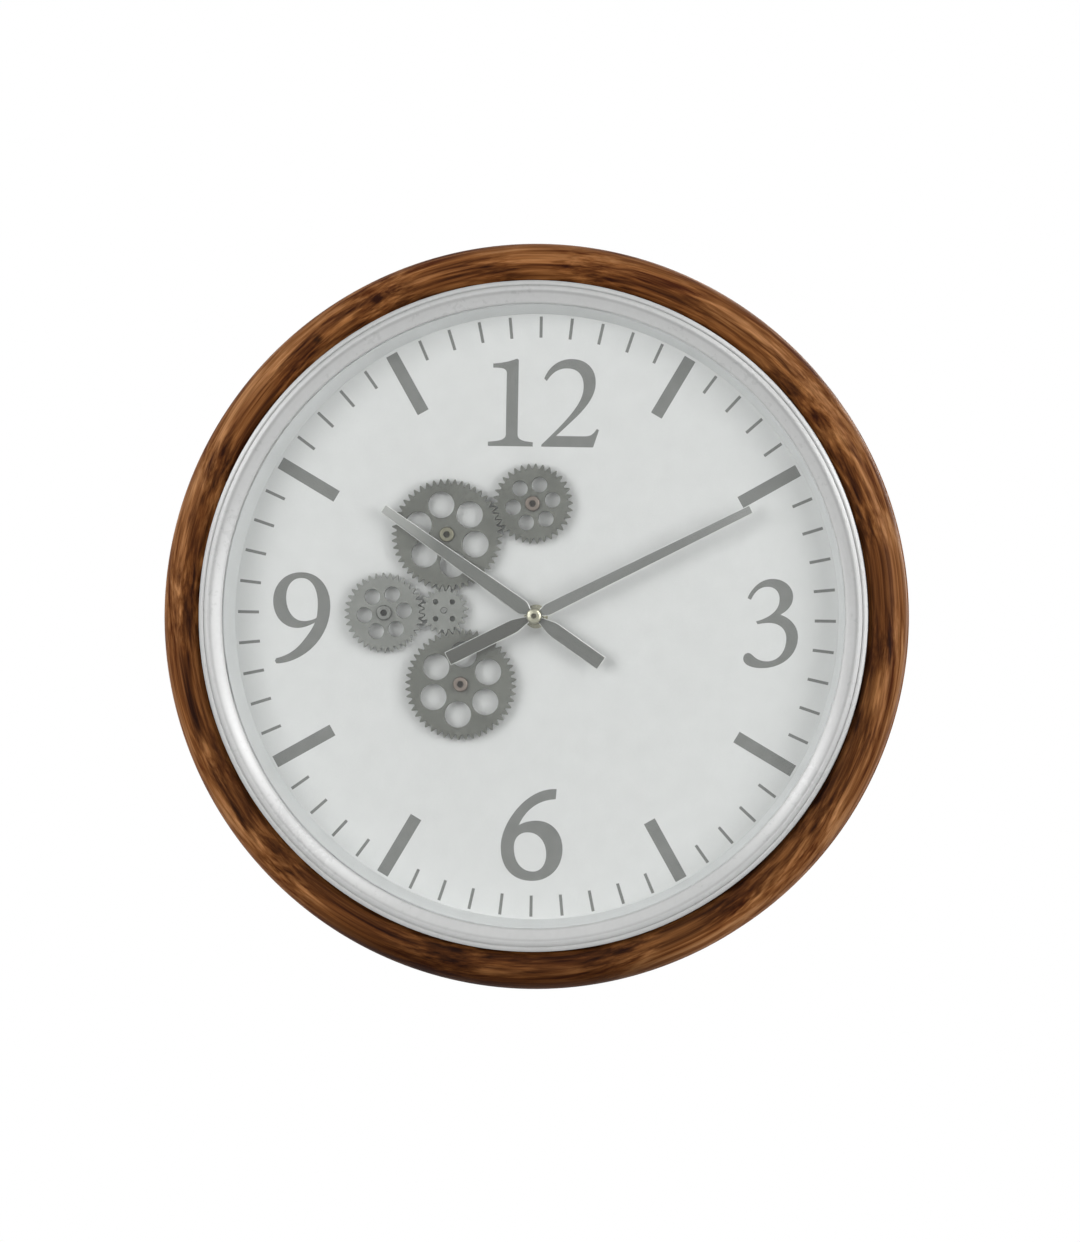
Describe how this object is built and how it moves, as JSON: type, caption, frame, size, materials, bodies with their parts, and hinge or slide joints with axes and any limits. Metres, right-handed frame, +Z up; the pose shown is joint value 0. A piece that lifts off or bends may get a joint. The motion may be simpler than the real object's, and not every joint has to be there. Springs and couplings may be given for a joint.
{
  "type": "gear wall clock",
  "caption": "Round wall clock with a turned wooden rim, a white stepped bezel, a glazed pale dial with numerals and bars, plain grey hands and an open train of meshing decorative gears.",
  "frame": {"origin": "the centre of the keyhole slot's round upper end, on the wall plane", "axes": "+Z up, +Y from the clock into the wall, so the dial faces -Y, +X to the right of someone reading the dial"},
  "size_m": [0.5, 0.0618, 0.5],
  "materials": {
    "stained_wood": "walnut stain under a satin varnish, grain running round the ring",
    "white_enamel": "semi-gloss white enamel on spun aluminium",
    "white_plastic": "satin white",
    "dial_paint": "pale grey matt paint with printed grey numerals and bars",
    "clear_glass": "clear flat float glass, polished edge",
    "black_sheet": "black powder coat on aluminium sheet",
    "zinc_steel": "bright zinc plate",
    "brass": "turned brass, lightly aged",
    "copper_heads": "copper-plated screw heads, aged",
    "grey_gears": "satin gunmetal grey paint",
    "pale_gears": "satin pale grey paint",
    "grey_hands": "satin grey paint on stamped sheet",
    "black_plastic": "moulded, fine texture",
    "black_rubber": "plain black rubber and foam",
    "cell_jacket": "plain grey jacket with bare steel ends"
  },
  "bodies": {
    "clock_case": {"wood_rim": "stained_wood", "case_drum": "black_sheet", "bezel": "white_enamel", "glass_lens": "clear_glass", "glass_gasket": "black_rubber", "dial_spacer": "white_plastic", "dial": "dial_paint", "back_plate": "black_sheet", "back_screw_1": "zinc_steel", "back_screw_2": "zinc_steel", "back_screw_3": "zinc_steel", "back_screw_4": "zinc_steel", "back_screw_5": "zinc_steel", "back_screw_6": "zinc_steel", "hanger_plate": "zinc_steel", "hanger_rivet_left": "zinc_steel", "hanger_rivet_right": "zinc_steel", "movement_case": "black_plastic", "movement_cell": "cell_jacket", "movement_bush": "brass", "rubber_washer": "black_rubber", "bush_washer": "brass", "bush_nut": "brass", "upper_gear_post": "zinc_steel", "upper_gear_screw": "brass", "top_gear_post": "zinc_steel", "top_gear_screw": "copper_heads", "left_gear_post": "zinc_steel", "left_gear_screw": "zinc_steel", "lower_gear_post": "zinc_steel", "lower_gear_screw": "copper_heads", "drive_case": "black_plastic", "drive_pad": "black_rubber", "drive_cell_1": "cell_jacket", "drive_cell_2": "cell_jacket"},
    "minute_hand": {"minute_arbor": "brass", "minute_hand": "grey_hands", "hand_nut": "brass"},
    "hour_hand": {"hour_tube": "brass", "hour_collet": "brass", "hour_hand": "grey_hands"},
    "time_set_knob": {"time_set_knob": "black_plastic"},
    "upper_gear": {"upper_gear": "grey_gears"},
    "top_gear": {"top_gear": "grey_gears"},
    "left_gear": {"left_gear": "pale_gears"},
    "lower_gear": {"lower_gear": "grey_gears"},
    "drive_pinion": {"drive_pinion": "pale_gears", "pinion_collar": "zinc_steel", "drive_shaft": "zinc_steel"}
  },
  "joints": [
    {"name": "minute_hand_turn", "type": "hinge", "parent": "clock_case", "child": "minute_hand", "pos_m": [0, -0.0446, -0.192], "axis": [0, 1, 0], "continuous": true},
    {"name": "hour_hand_turn", "type": "hinge", "parent": "clock_case", "child": "hour_hand", "pos_m": [0, -0.041, -0.192], "axis": [0, 1, 0], "continuous": true},
    {"name": "set_knob_turn", "type": "hinge", "parent": "clock_case", "child": "time_set_knob", "pos_m": [0.013, -0.0084, -0.179], "axis": [0, 1, 0], "continuous": true},
    {"name": "upper_gear_turn", "type": "hinge", "parent": "clock_case", "child": "upper_gear", "pos_m": [-0.06053, -0.03525, -0.13801], "axis": [0, 1, 0], "continuous": true},
    {"name": "top_gear_turn", "type": "hinge", "parent": "clock_case", "child": "top_gear", "pos_m": [-0.00296, -0.03525, -0.11637], "axis": [0, 1, 0], "continuous": true},
    {"name": "left_gear_turn", "type": "hinge", "parent": "clock_case", "child": "left_gear", "pos_m": [-0.10204, -0.03525, -0.19126], "axis": [0, 1, 0], "continuous": true},
    {"name": "lower_gear_turn", "type": "hinge", "parent": "clock_case", "child": "lower_gear", "pos_m": [-0.04952, -0.03525, -0.23855], "axis": [0, 1, 0], "continuous": true},
    {"name": "drive_pinion_turn", "type": "hinge", "parent": "clock_case", "child": "drive_pinion", "pos_m": [-0.0616, -0.03525, -0.189], "axis": [0, 1, 0], "continuous": true}
  ],
  "couplings": [
    {"joint": "hour_hand_turn", "follows": "minute_hand_turn", "ratio": 0.083333},
    {"joint": "set_knob_turn", "follows": "minute_hand_turn", "ratio": -0.33333},
    {"joint": "drive_pinion_turn", "follows": "upper_gear_turn", "ratio": -2.4},
    {"joint": "top_gear_turn", "follows": "upper_gear_turn", "ratio": -1.4118},
    {"joint": "left_gear_turn", "follows": "upper_gear_turn", "ratio": 1.4118},
    {"joint": "lower_gear_turn", "follows": "upper_gear_turn", "ratio": 1}
  ]
}
